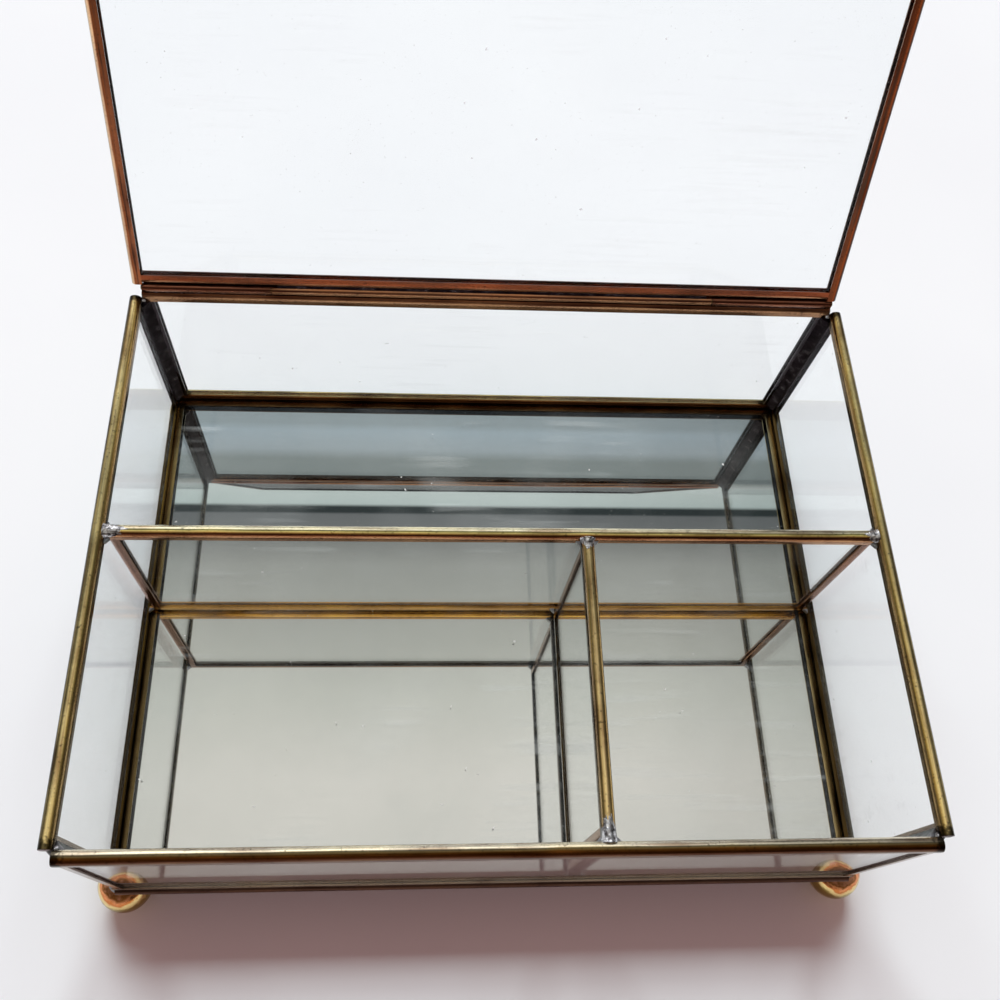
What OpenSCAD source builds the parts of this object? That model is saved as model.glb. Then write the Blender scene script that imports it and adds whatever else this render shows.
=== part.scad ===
// Glass casket box: clear panes edged in brass channel, a mirror base, three open
// compartments, four ball feet and a lid that turns on a full-width tube hinge.
//
// Every pane is a flat panel with a U-shaped channel folded over each of its four edges.
// The walls meet corner to corner, so each vertical corner is an open notch, and solder
// fills it. The origin is on the table, under the middle of the case.

/* [Case] */
// Width over the left and right walls
case_w = 203; // [150:1:300]
// Depth over the front and back walls
case_d = 150; // [110:1:220]
// Height of the walls, over their top and bottom rails
wall_h = 58; // [35:1:110]

/* [Brass channel] */
// Thickness of the clear panes and of the mirror
glass_t = 2.4; // [1.8:0.1:3.2]
// Slack between the glass and each side of its channel
glass_slack = 0.1; // [0.05:0.05:0.2]
// Thickness of the brass strip that the channel is folded from
strip_t = 0.4; // [0.3:0.05:0.6]
// Depth of a channel, from its rounded back to the lips of its flanges
channel_d = 3; // [2.8:0.1:5]
// Gap between the square edges of a pane and the round inside of its channel
pane_edge_gap = 0.2; // [0.1:0.05:0.5]

/* [Base] */
// How far the base frame stands out past the walls
base_stand_out = 0.9; // [0:0.1:1.2]
// Depth of the channel round the base, which is folded from a wider strip
base_channel_d = 6; // [5:0.1:9]

/* [Dividers] */
// How far behind the middle of the case the long divider stands
long_divider_y = 2; // [-25:0.5:25]
// How far to the right of the middle the short divider stands
short_divider_x = 22; // [-50:0.5:50]
// How far the tops of the dividers lie below the rim
divider_drop = 0.5; // [0:0.1:5]
// Soldering gap between a divider and what it meets
divider_gap = 0.1; // [0.05:0.05:0.4]

/* [Lid] */
// How far each side of the lid lies inside the wall below it
lid_inset = 1.9; // [0:0.1:3]
// How far the lid sits to the left of the middle
lid_shift = 0.7; // [-1.5:0.1:1.5]
// How far the closed lid reaches past the front wall
lid_overhang = 0.5; // [0:0.1:3]
// Gap between the closed lid and the rim
lid_rest_gap = 0.3; // [0.2:0.05:0.8]
// Angle at which the lid is shown open, from closed
lid_open_deg = 114; // [0:1:114]

/* [Hinge] */
// Outer diameter of the hinge tube
knuckle_d = 2.4; // [2:0.1:3.2]
// Diameter of the rod inside the tube
hinge_rod_d = 1.5; // [1:0.05:1.6]
// Running gap between the rod and the bore of each knuckle
rod_clearance = 0.05; // [0.03:0.01:0.08]
// How far each end of the row of knuckles lies inside the side wall
hinge_inset = 3.9; // [2:0.1:15]
// Length of each end knuckle, which the box carries
end_knuckle_len = 35; // [15:0.5:60]
// Gap between neighbouring knuckles
knuckle_gap = 0.4; // [0.3:0.05:0.8]
// Gap between the knuckles and the rails that they run along
knuckle_rail_gap = 0.25; // [0.2:0.05:0.5]
// How far the rod stands out of each end of the tube
rod_stand_out = 0.4; // [0.1:0.1:1]

/* [Feet] */
// Diameter of each ball foot
foot_d = 14.5; // [8:0.1:20]
// How far the flat on top of each ball lies below its pole
foot_flat = 0.35; // [0.2:0.05:0.6]
// Distance from a side wall's outer face to the middle of each foot
foot_inset_x = 3.8; // [2.5:0.1:8]
// Distance from the front or back wall's outer face to the middle of each foot
foot_inset_y = 2.6; // [2.5:0.1:8]

/* [Solder] */
// Width of the seam that runs down each corner
seam_w = 2.9; // [2:0.1:3]
// Soldering gap between the base and the walls that stand on it
wall_seat_gap = 0.1; // [0.05:0.05:0.3]
// Gap between the solder and the round backs that it lies against
solder_gap = 0.05; // [0.03:0.01:0.08]
// Width of the solder between a knuckle and its rail
run_w = 1.4; // [0.8:0.1:1.6]
// Distance from each end of a knuckle to the end of its solder
run_inset = 1.5; // [0.5:0.5:6]
// How far the collar at the foot of each seam reaches past the flat on the ball
collar_w = 0.8; // [0.4:0.1:1.2]
// Length of the sides of the small fillets at the ends of the dividers
fillet_leg = 1.2; // [0.6:0.1:1.6]

/* [Hidden] */

ROUND = 64;  // facets of a full circle
OVER = 1;    // how far a cutting shape runs past what it cuts

// Channel section: a round back as wide as the channel, and two flat flanges.
slot_w = glass_t + 2 * glass_slack;
channel_w = slot_w + 2 * strip_t;
crown_r = channel_w / 2;
pane_inset = crown_r - sqrt(pow(slot_w / 2, 2) - pow(glass_t / 2, 2)) + pane_edge_gap;

// Feet: where the ball at the corner with the greatest x and y stands, and the collar of
// solder round the flat on top of it.
foot_x = case_w / 2 - foot_inset_x;
foot_y = case_d / 2 - foot_inset_y;
collar_r = sqrt(foot_flat * (foot_d - foot_flat)) + collar_w;

// Heights, from the table up.
base_z = foot_d - foot_flat;
wall_z = base_z + channel_w + wall_seat_gap;
rim_z = wall_z + wall_h;

// The walls run between these inner planes, and the corners outside them stay open.
inner_x = case_w / 2 - channel_w;
inner_y = case_d / 2 - channel_w;

// Base frame: its outer edges, and where its side rails end, short of the flanges of the
// front and back ones. A web of solder fills the corner left between them.
base_x = case_w / 2 + base_stand_out;
base_y = case_d / 2 + base_stand_out;
base_side_y = base_y - base_channel_d - wall_seat_gap;
base_web = base_x - inner_x - 0.5;

// Dividers stand level with the walls, their ends on the flanges of the base frame.
divider_z = wall_z;
divider_h = rim_z - divider_drop - divider_z;
long_divider_len = 2 * (inner_x - divider_gap);
short_divider_front_y = -inner_y + divider_gap;
short_divider_back_y = long_divider_y - channel_w / 2 - divider_gap;
short_divider_len = short_divider_back_y - short_divider_front_y;

// Hinge axis: straight above the middle of the back wall's top rail.
hinge_len = case_w - 2 * hinge_inset;
knuckle_r = knuckle_d / 2;
bore_r = hinge_rod_d / 2 + rod_clearance;
crown_reach = crown_r + knuckle_rail_gap + knuckle_r;
hinge_y = case_d / 2 - crown_r;
hinge_z = rim_z - crown_r + crown_reach;
centre_knuckle_len = hinge_len - 2 * (end_knuckle_len + knuckle_gap);

// The closed lid lies this far above the axis, and its round back edge keeps crown_reach
// from the axis all the way round.
lid_rise = rim_z + lid_rest_gap + crown_r - hinge_z;
lid_back_y = hinge_y - sqrt(pow(crown_reach, 2) - pow(lid_rise, 2)) + crown_r;
lid_front_y = -case_d / 2 - lid_overhang;
lid_d = lid_back_y - lid_front_y;
lid_w = case_w - 2 * lid_inset;
lid_crown_angle = asin(lid_rise / crown_reach);

// Mirror corners are nipped so that they stay clear of the solder webs.
nip_clearance = 0.3;
mirror_w = 2 * (base_x - pane_inset);
mirror_d = 2 * (base_y - pane_inset);
mirror_nip = (mirror_w + mirror_d) / 2 - (inner_x + base_side_y - 2 * nip_clearance);

// ---------------------------------------------------------------- channel and panel

// Section of the channel: round back at the top, reaching from y = 0 down to -depth.
module channel_section(depth) {
    difference() {
        union() {
            translate([0, -crown_r]) circle(r = crown_r, $fn = ROUND);
            translate([-crown_r, -depth]) square([channel_w, depth - crown_r]);
        }
        translate([0, -crown_r]) circle(d = slot_w, $fn = ROUND);
        translate([-slot_w / 2, -depth - OVER]) square([slot_w, depth - crown_r + OVER]);
    }
}

// Straight channel along X with its round back up, at z = 0.
module channel(len, depth = channel_d) {
    color("darkgoldenrod")
        rotate([90, 0, 90])
            linear_extrude(height = len, center = true) channel_section(depth);
}

// A panel stands on z = 0, centred on X and Y, with its thickness along Y.
module panel_top_rail(len, h) { translate([0, 0, h]) channel(len); }
module panel_bottom_rail(len) { rotate([180, 0, 0]) channel(len); }
module panel_stile(len, h, side) {
    translate([side * len / 2, 0, h / 2])
        rotate([0, side * 90, 0]) channel(h - 2 * channel_d);
}
module panel_glass(len, h) {
    color("lightcyan", 0.4)
        translate([pane_inset - len / 2, -glass_t / 2, pane_inset])
            cube([len - 2 * pane_inset, glass_t, h - 2 * pane_inset]);
}

// ---------------------------------------------------------------- where each panel stands

module at_wall_x(side) {
    translate([0, side * (case_d / 2 - crown_r), wall_z]) children();
}
module at_wall_y(side) {
    translate([side * (case_w / 2 - crown_r), 0, wall_z]) rotate([0, 0, 90]) children();
}
module at_long_divider() { translate([0, long_divider_y, divider_z]) children(); }
module at_short_divider() {
    translate([short_divider_x, (short_divider_front_y + short_divider_back_y) / 2, divider_z])
        rotate([0, 0, 90]) children();
}

// The base lies flat: its rails keep to the walls above them.
module at_base() { translate([0, 0, base_z + crown_r]) children(); }

// The lid is drawn closed about the hinge axis and turned open. Its panel stands across
// the lid, so that the side rails run its full depth and the other two fit between them.
module at_hinge(turn) { translate([0, hinge_y, hinge_z]) rotate([-turn, 0, 0]) children(); }
module at_lid() {
    at_hinge(lid_open_deg)
        translate([-lid_w / 2 - lid_shift, (lid_back_y + lid_front_y) / 2 - hinge_y, lid_rise])
            rotate([0, 90, 0]) rotate([0, 0, 90]) children();
}

// ---------------------------------------------------------------- walls

wall_x_len = 2 * inner_x;
wall_y_len = 2 * inner_y;

module front_pane() { at_wall_x(-1) panel_glass(wall_x_len, wall_h); }
module front_top_rail() { at_wall_x(-1) panel_top_rail(wall_x_len, wall_h); }
module front_bottom_rail() { at_wall_x(-1) panel_bottom_rail(wall_x_len); }
module front_left_stile() { at_wall_x(-1) panel_stile(wall_x_len, wall_h, -1); }
module front_right_stile() { at_wall_x(-1) panel_stile(wall_x_len, wall_h, 1); }

module back_pane() { at_wall_x(1) panel_glass(wall_x_len, wall_h); }
module back_top_rail() { at_wall_x(1) panel_top_rail(wall_x_len, wall_h); }
module back_bottom_rail() { at_wall_x(1) panel_bottom_rail(wall_x_len); }
module back_left_stile() { at_wall_x(1) panel_stile(wall_x_len, wall_h, -1); }
module back_right_stile() { at_wall_x(1) panel_stile(wall_x_len, wall_h, 1); }

module left_pane() { at_wall_y(-1) panel_glass(wall_y_len, wall_h); }
module left_top_rail() { at_wall_y(-1) panel_top_rail(wall_y_len, wall_h); }
module left_bottom_rail() { at_wall_y(-1) panel_bottom_rail(wall_y_len); }
module left_front_stile() { at_wall_y(-1) panel_stile(wall_y_len, wall_h, -1); }
module left_back_stile() { at_wall_y(-1) panel_stile(wall_y_len, wall_h, 1); }

module right_pane() { at_wall_y(1) panel_glass(wall_y_len, wall_h); }
module right_top_rail() { at_wall_y(1) panel_top_rail(wall_y_len, wall_h); }
module right_bottom_rail() { at_wall_y(1) panel_bottom_rail(wall_y_len); }
module right_front_stile() { at_wall_y(1) panel_stile(wall_y_len, wall_h, -1); }
module right_back_stile() { at_wall_y(1) panel_stile(wall_y_len, wall_h, 1); }

// ---------------------------------------------------------------- base

// Rails along X close the front and back edges, rails along Y the two sides.
module base_rail_x(side) {
    at_base()
        translate([0, side * base_y, 0])
            rotate([-side * 90, 0, 0]) channel(wall_x_len, base_channel_d);
}
module base_rail_y(side) {
    at_base()
        translate([side * base_x, 0, 0])
            rotate([0, side * 90, 0]) rotate([0, 0, 90]) channel(2 * base_side_y, base_channel_d);
}
module base_front_rail() { base_rail_x(-1); }
module base_back_rail() { base_rail_x(1); }
module base_left_rail() { base_rail_y(-1); }
module base_right_rail() { base_rail_y(1); }

// Mirror plate: a rectangle with its corners nipped off at 45 degrees.
module base_mirror() {
    x = mirror_w / 2;
    y = mirror_d / 2;
    n = mirror_nip;
    color("silver")
        at_base()
            linear_extrude(height = glass_t, center = true)
                polygon([
                    [x - n, -y], [x, n - y], [x, y - n], [x - n, y],
                    [n - x, y], [-x, y - n], [-x, n - y], [n - x, -y]
                ]);
}

// ---------------------------------------------------------------- dividers

module long_divider_pane() { at_long_divider() panel_glass(long_divider_len, divider_h); }
module long_divider_top_rail() { at_long_divider() panel_top_rail(long_divider_len, divider_h); }
module long_divider_bottom_rail() { at_long_divider() panel_bottom_rail(long_divider_len); }
module long_divider_left_stile() { at_long_divider() panel_stile(long_divider_len, divider_h, -1); }
module long_divider_right_stile() { at_long_divider() panel_stile(long_divider_len, divider_h, 1); }

module short_divider_pane() { at_short_divider() panel_glass(short_divider_len, divider_h); }
module short_divider_top_rail() { at_short_divider() panel_top_rail(short_divider_len, divider_h); }
module short_divider_bottom_rail() { at_short_divider() panel_bottom_rail(short_divider_len); }
module short_divider_back_stile() { at_short_divider() panel_stile(short_divider_len, divider_h, 1); }
module short_divider_front_stile() { at_short_divider() panel_stile(short_divider_len, divider_h, -1); }

// Solder at a divider's ends: a small three-cornered fillet on each side of it, against
// the straight flanges of its top rail and of its bottom rail.
module divider_solder(len, h) {
    wall = len / 2 + divider_gap;
    color("gray")
        for (end = [-1, 1], side = [-1, 1], z = [crown_r, h - channel_d])
            translate([0, 0, z])
                linear_extrude(height = channel_d - crown_r)
                    polygon([
                        [end * wall, side * crown_r],
                        [end * (wall - fillet_leg), side * crown_r],
                        [end * wall, side * (crown_r + fillet_leg)]
                    ]);
}
module long_divider_solder() { at_long_divider() divider_solder(long_divider_len, divider_h); }
module short_divider_solder() { at_short_divider() divider_solder(short_divider_len, divider_h); }

// ---------------------------------------------------------------- lid

module lid_pane() { at_lid() panel_glass(lid_d, lid_w); }
module lid_left_rail() { at_lid() panel_bottom_rail(lid_d); }
module lid_right_rail() { at_lid() panel_top_rail(lid_d, lid_w); }
module lid_hinge_rail() { at_lid() panel_stile(lid_d, lid_w, 1); }
module lid_front_rail() { at_lid() panel_stile(lid_d, lid_w, -1); }

// ---------------------------------------------------------------- hinge

// Tube along X from x0 to x1 on the hinge axis.
module knuckle(x0, x1) {
    color("darkgoldenrod")
        translate([x0, hinge_y, hinge_z])
            rotate([0, 90, 0])
                difference() {
                    cylinder(h = x1 - x0, r = knuckle_r, $fn = ROUND);
                    translate([0, 0, -OVER])
                        cylinder(h = x1 - x0 + 2 * OVER, r = bore_r, $fn = ROUND);
                }
}
module hinge_left_knuckle() { knuckle(-hinge_len / 2, end_knuckle_len - hinge_len / 2); }
module hinge_right_knuckle() { knuckle(hinge_len / 2 - end_knuckle_len, hinge_len / 2); }
module hinge_centre_knuckle() { knuckle(-centre_knuckle_len / 2, centre_knuckle_len / 2); }

module hinge_rod() {
    color("peru")
        translate([-hinge_len / 2 - rod_stand_out, hinge_y, hinge_z])
            rotate([0, 90, 0])
                cylinder(h = hinge_len + 2 * rod_stand_out, d = hinge_rod_d, $fn = ROUND);
}

// Run of solder between a knuckle and a rail, centred on X: it fills the gap between the
// two round backs. The rail's centre lies straight below the axis.
module solder_run(len) {
    color("gray")
        difference() {
            translate([-len / 2, -run_w / 2, -crown_reach]) cube([len, run_w, crown_reach]);
            for (part = [[0, knuckle_r], [-crown_reach, crown_r]])
                translate([-len, 0, part[0]])
                    rotate([0, 90, 0])
                        cylinder(h = 2 * len, r = part[1] + solder_gap, $fn = ROUND);
        }
}
module hinge_box_solder() {
    for (side = [-1, 1])
        at_hinge(0)
            translate([side * (hinge_len - end_knuckle_len) / 2, 0, 0])
                solder_run(end_knuckle_len - 2 * run_inset);
}
module hinge_lid_solder() {
    at_hinge(lid_open_deg)
        rotate([-90 - lid_crown_angle, 0, 0]) solder_run(centre_knuckle_len - 2 * run_inset);
}

// ---------------------------------------------------------------- feet

// Solid ball with a small flat on top, where it is soldered to the base rails.
module foot(side_x, side_y) {
    color("gold")
        translate([side_x * foot_x, side_y * foot_y, 0])
            intersection() {
                translate([0, 0, foot_d / 2]) sphere(d = foot_d, $fn = ROUND);
                translate([-foot_d, -foot_d, -OVER])
                    cube([2 * foot_d, 2 * foot_d, base_z + OVER]);
            }
}
module foot_front_left() { foot(-1, -1); }
module foot_front_right() { foot(1, -1); }
module foot_back_left() { foot(-1, 1); }
module foot_back_right() { foot(1, 1); }

// ---------------------------------------------------------------- corner seams

// One solder seam, for the corner where x and y are greatest. Between the rails it fills
// the space between the round backs of the two stiles, flat at 45 degrees inside and out.
// Past the rails' ends only its outer half is left, in the open notch. At the bottom it
// spreads into the web between the base rails and a collar round the ball.
module seam() {
    stile_z = wall_z + channel_d;
    stile_top_z = rim_z - channel_d;
    leg = seam_w / sqrt(2);
    color("gray") {
        difference() {
            translate([inner_x, inner_y, stile_z])
                rotate([0, 0, 45])
                    translate([-seam_w / 2, -channel_w / sqrt(2), 0])
                        cube([seam_w, channel_w * sqrt(2), stile_top_z - stile_z]);
            for (p = [
                [inner_x - crown_r, case_d / 2 - crown_r],
                [case_w / 2 - crown_r, inner_y - crown_r]
            ])
                translate([p[0], p[1], stile_z - OVER])
                    cylinder(
                        h = stile_top_z - stile_z + 2 * OVER,
                        r = crown_r + solder_gap,
                        $fn = ROUND
                    );
        }
        translate([inner_x, inner_y, base_z])
            linear_extrude(height = stile_z - base_z)
                polygon([[0, 0], [leg, 0], [0, leg]]);
        translate([inner_x, base_side_y, base_z])
            linear_extrude(height = channel_w)
                polygon([[0, 0], [base_web, 0], [0, base_web]]);
        translate([foot_x, foot_y, foot_d / 2])
            difference() {
                cylinder(h = base_z - foot_d / 2, r = collar_r, $fn = ROUND);
                sphere(r = foot_d / 2 + solder_gap, $fn = ROUND);
            }
    }
}
module seam_back_right() { seam(); }
module seam_back_left() { mirror([1, 0, 0]) seam(); }
module seam_front_right() { mirror([0, 1, 0]) seam(); }
module seam_front_left() { mirror([1, 0, 0]) mirror([0, 1, 0]) seam(); }

// ---------------------------------------------------------------- assembly

front_pane();
front_top_rail();
front_bottom_rail();
front_left_stile();
front_right_stile();
back_pane();
back_top_rail();
back_bottom_rail();
back_left_stile();
back_right_stile();
left_pane();
left_top_rail();
left_bottom_rail();
left_front_stile();
left_back_stile();
right_pane();
right_top_rail();
right_bottom_rail();
right_front_stile();
right_back_stile();
base_mirror();
base_front_rail();
base_back_rail();
base_left_rail();
base_right_rail();
long_divider_pane();
long_divider_top_rail();
long_divider_bottom_rail();
long_divider_left_stile();
long_divider_right_stile();
short_divider_pane();
short_divider_top_rail();
short_divider_bottom_rail();
short_divider_back_stile();
short_divider_front_stile();
lid_pane();
lid_left_rail();
lid_right_rail();
lid_hinge_rail();
lid_front_rail();
hinge_left_knuckle();
hinge_right_knuckle();
hinge_centre_knuckle();
hinge_rod();
foot_front_left();
foot_front_right();
foot_back_left();
foot_back_right();
seam_front_left();
seam_front_right();
seam_back_left();
seam_back_right();
hinge_box_solder();
hinge_lid_solder();
long_divider_solder();
short_divider_solder();
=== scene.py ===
from math import pi, radians

import bmesh
import bpy
import numpy as np
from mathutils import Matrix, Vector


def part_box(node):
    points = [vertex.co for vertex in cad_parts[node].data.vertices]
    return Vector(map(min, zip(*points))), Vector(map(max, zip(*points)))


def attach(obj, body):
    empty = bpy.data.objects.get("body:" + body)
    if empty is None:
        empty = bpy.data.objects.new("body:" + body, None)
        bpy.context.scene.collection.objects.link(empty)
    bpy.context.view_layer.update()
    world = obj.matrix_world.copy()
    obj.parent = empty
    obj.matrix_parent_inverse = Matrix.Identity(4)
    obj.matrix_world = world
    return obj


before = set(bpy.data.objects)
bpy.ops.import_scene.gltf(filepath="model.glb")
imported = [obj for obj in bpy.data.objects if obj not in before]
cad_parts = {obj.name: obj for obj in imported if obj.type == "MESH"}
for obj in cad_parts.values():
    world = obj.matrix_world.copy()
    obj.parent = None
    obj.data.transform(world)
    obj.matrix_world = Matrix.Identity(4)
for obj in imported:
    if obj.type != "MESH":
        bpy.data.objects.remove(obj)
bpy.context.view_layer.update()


# ---------------------------------------------------------------- camera
# Held above the front of the box and tipped towards the back, so that it looks down
# into the compartments. The lens is a 38 mm one on a 36 mm square frame.
eye = bpy.data.cameras.new("eye")
eye.sensor_fit = "HORIZONTAL"
eye.sensor_width = 36.0
eye.lens = 37.83
eye.shift_x = 0.0115
eye.shift_y = -0.0687
eye.clip_start = 0.01
camera = bpy.data.objects.new("camera", eye)
camera.location = (-0.02403, -0.10100, 0.32003)
camera.rotation_euler = (radians(28.30), radians(-4.267), radians(-1.335))
bpy.context.scene.collection.objects.link(camera)
bpy.context.scene.camera = camera


# ---------------------------------------------------------------- clear panes
# Seven flat panes of 2.4 mm float glass, with a trace of blue, each held in its channel
# on all four sides. They carry a little dust and a few faint wiping marks.
def put(tree, kind, inputs=(), **settings):
    """Adds a shader node; inputs maps a socket to a value or to the socket that feeds it."""
    node = tree.nodes.new(kind)
    for name, value in settings.items():
        setattr(node, name, value)
    for socket, value in dict(inputs).items():
        if isinstance(value, bpy.types.NodeSocket):
            tree.links.new(value, node.inputs[socket])
        else:
            node.inputs[socket].default_value = value
    return node


def shade(tree, value, *stops):
    """A colour ramp over value; each stop is a place from 0 to 1 and a colour or a grey."""
    ramp = put(tree, "ShaderNodeValToRGB", {"Fac": value})
    points = ramp.color_ramp.elements
    while len(points) < len(stops):
        points.new(1.0)
    for point, (place, colour) in zip(points, stops):
        point.position = place
        point.color = (*colour, 1.0) if isinstance(colour, tuple) else (colour, colour, colour, 1.0)
    return ramp.outputs["Color"]


def speckle(tree, where, scale, detail=2.0):
    """Noise at so many grains to the metre, at a place or a stretched place."""
    return put(
        tree, "ShaderNodeTexNoise", {"Vector": where, "Scale": scale, "Detail": detail}
    ).outputs["Fac"]


def reckon(tree, operation, *values):
    """One step of arithmetic on numbers or sockets."""
    return put(tree, "ShaderNodeMath", dict(enumerate(values)), operation=operation).outputs[0]


def blank(name):
    """A new material with an empty node tree: (material, tree, output node)."""
    material = bpy.data.materials.new(name)
    material.use_nodes = True
    material.node_tree.nodes.clear()
    tree = material.node_tree
    return material, tree, put(tree, "ShaderNodeOutputMaterial")


def dress(material, *names):
    """Gives CAD nodes a material in place of their own."""
    for name in names:
        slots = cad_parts[name].material_slots
        for slot in slots:
            slot.material = material


def glass(name, tint, dust_amount, index):
    """Clear glass with a little dust on it: fine grains and a few soft specks of lint are
    faint diffuse spots where a noise passes its threshold, wiping marks are a noise drawn
    out sideways and kept to a few patches, and light passes on through. index is the index
    of refraction: the panes' is set below that of glass, to keep their reflections weak, and
    the mirror plate has that of glass."""
    material, tree, output = blank(name)
    where = put(tree, "ShaderNodeTexCoord").outputs["Object"]
    film = shade(tree, speckle(tree, where, 45.0, 4.0), (0.45, 0.0), (0.8, 0.03))
    drawn = put(
        tree, "ShaderNodeMapping", {"Vector": where, "Scale": (14.0, 1.0, 1.0)}, vector_type="TEXTURE"
    ).outputs[0]
    wiped = shade(tree, speckle(tree, drawn, 300.0, 2.0), (0.58, 0.0), (0.74, 0.12))
    patch = shade(tree, speckle(tree, where, 28.0, 2.0), (0.50, 0.0), (0.62, 1.0))
    marks = reckon(tree, "MULTIPLY", wiped, patch)
    film = reckon(tree, "ADD", film, marks)
    grains = shade(tree, speckle(tree, where, 1700.0), (0.73, 0.0), (0.79, 0.7))
    lint = shade(tree, speckle(tree, where, 520.0, 1.0), (0.80, 0.0), (0.83, 0.8))
    spots = reckon(tree, "MAXIMUM", grains, lint)
    dust = reckon(tree, "ADD", film, spots)
    share = reckon(tree, "MULTIPLY", dust, dust_amount)
    body = put(
        tree, "ShaderNodeBsdfPrincipled",
        {"Base Color": tint, "Roughness": 0.0, "IOR": index, "Transmission Weight": 1.0},
    ).outputs[0]
    powder = put(tree, "ShaderNodeBsdfDiffuse", {"Color": (0.8, 0.8, 0.78, 1.0)}).outputs[0]
    dusty = put(tree, "ShaderNodeMixShader", {0: share, 1: body, 2: powder}).outputs[0]
    path = put(tree, "ShaderNodeLightPath")
    unseen = reckon(tree, "MAXIMUM", path.outputs["Is Shadow Ray"], path.outputs["Is Diffuse Ray"])
    clear = put(tree, "ShaderNodeBsdfTransparent", {"Color": (0.99, 0.99, 0.99, 1.0)}).outputs[0]
    surface = put(tree, "ShaderNodeMixShader", {0: unseen, 1: dusty, 2: clear}).outputs[0]
    tree.links.new(surface, output.inputs["Surface"])
    return material


clear_pane = glass("clear_pane", (0.974, 0.996, 1.0, 1.0), 0.5, 1.30)
dress(
    clear_pane, "front_pane", "back_pane", "left_pane", "right_pane",
    "long_divider_pane", "short_divider_pane", "lid_pane",
)


# ---------------------------------------------------------------- mirror base
# A mirror tile: 2.4 mm glass, silvered on its underside and sealed with grey paint. The
# silver is a skin of its own just under the glass, so that reflections lie as deep as in
# the real plate.
def fit_piece(name, mesh, body):
    """Hangs a finished mesh in the scene, on its body."""
    piece = bpy.data.objects.new(name, mesh)
    bpy.context.scene.collection.objects.link(piece)
    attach(piece, body)
    return piece


def skin(name, corners, thickness, body):
    """A flat plate under a list of corners: the outline at two heights, joined round."""
    ring = np.array(corners)
    low = ring - (0.0, 0.0, thickness)
    count = len(ring)
    turn = np.arange(count)
    after = (turn + 1) % count
    sides = np.stack([turn, turn + count, after + count, after], axis=1)
    faces = [tuple(turn), tuple((turn + count)[::-1])] + [tuple(side) for side in sides]
    mesh = bpy.data.meshes.new(name)
    mesh.from_pydata(np.vstack([ring, low]).tolist(), [], [tuple(map(int, f)) for f in faces])
    mesh.update()
    return fit_piece(name, mesh, body)


mirror_low, mirror_high = (np.array(corner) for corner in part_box("base_mirror"))
silver_inset = 0.0004
silver_nip = 0.0086
half_x = mirror_high[0] - silver_inset
half_y = mirror_high[1] - silver_inset
silver_gap = 0.00003
silver_thick = 0.00006
silver_z = mirror_low[2] - silver_gap
silvering = skin(
    "mirror_silvering",
    [
        (half_x - silver_nip, -half_y, silver_z), (half_x, silver_nip - half_y, silver_z),
        (half_x, half_y - silver_nip, silver_z), (half_x - silver_nip, half_y, silver_z),
        (silver_nip - half_x, half_y, silver_z), (-half_x, half_y - silver_nip, silver_z),
        (-half_x, silver_nip - half_y, silver_z), (silver_nip - half_x, -half_y, silver_z),
    ],
    silver_thick, "box",
)


def silver(name):
    """Bright silver seen through glass; the underside, told by its own facing, is paint."""
    material, tree, output = blank(name)
    coordinate = put(tree, "ShaderNodeTexCoord")
    where = coordinate.outputs["Object"]
    haze = speckle(tree, where, 30.0, 4.0)
    tone = shade(tree, haze, (0.3, (0.76, 0.765, 0.745)), (0.7, (0.83, 0.83, 0.81)))
    up = put(tree, "ShaderNodeSeparateXYZ", {0: coordinate.outputs["Normal"]}).outputs["Z"]
    bright = put(
        tree, "ShaderNodeBsdfPrincipled", {"Base Color": tone, "Metallic": 1.0, "Roughness": 0.012}
    )
    grit = speckle(tree, where, 900.0)
    paint_tone = shade(tree, grit, (0.3, (0.17, 0.175, 0.18)), (0.7, (0.23, 0.235, 0.24)))
    paint = put(tree, "ShaderNodeBsdfPrincipled", {"Base Color": paint_tone, "Roughness": 0.55})
    top = reckon(tree, "GREATER_THAN", up, 0.5)
    surface = put(tree, "ShaderNodeMixShader", {0: top, 1: paint.outputs[0], 2: bright.outputs[0]})
    tree.links.new(surface.outputs[0], output.inputs["Surface"])
    return material


silvering.data.materials.append(silver("silvering"))
dress(glass("mirror_plate", (0.975, 0.985, 0.975, 1.0), 1.0, 1.52), "base_mirror")


# ---------------------------------------------------------------- brass channel
# Thin brass strip folded into a U and slipped over each edge of the glass. It is drawn
# strip, so its marks run along it, and it has aged: the round back is rubbed olive-gold,
# and the flanges and the inner corners have gone red-brown to black. Over these tones
# lie painted highlights and reflections on the round back and painted shade in the
# flanges and inner corners.
def spread(tree, value, low, high, first=0.0, last=1.0, ease="LINEAR"):
    """The place of value between low and high, drawn out from first to last and held there."""
    return put(
        tree, "ShaderNodeMapRange",
        {"Value": value, "From Min": low, "From Max": high, "To Min": first, "To Max": last},
        interpolation_type=ease,
    ).outputs[0]


def scaled(tree, tone, share):
    """A tone times a share."""
    return put(tree, "ShaderNodeVectorMath", {0: tone, "Scale": share}, operation="SCALE").outputs[0]


def mix(tree, share, one, other, blend="MIX"):
    """A colour that goes from one to the other by a share, or is multiplied by it."""
    return put(
        tree, "ShaderNodeMix", {0: share, 6: one, 7: other}, data_type="RGBA", blend_type=blend
    ).outputs[2]


def bare_metal(tree, output, tone, rough, normal):
    """Ends a material as metal of a tone, a roughness and a bumped normal."""
    metal = put(
        tree, "ShaderNodeBsdfPrincipled",
        {"Base Color": tone, "Metallic": 1.0, "Roughness": rough, "Normal": normal},
    )
    tree.links.new(metal.outputs[0], output.inputs["Surface"])


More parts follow.
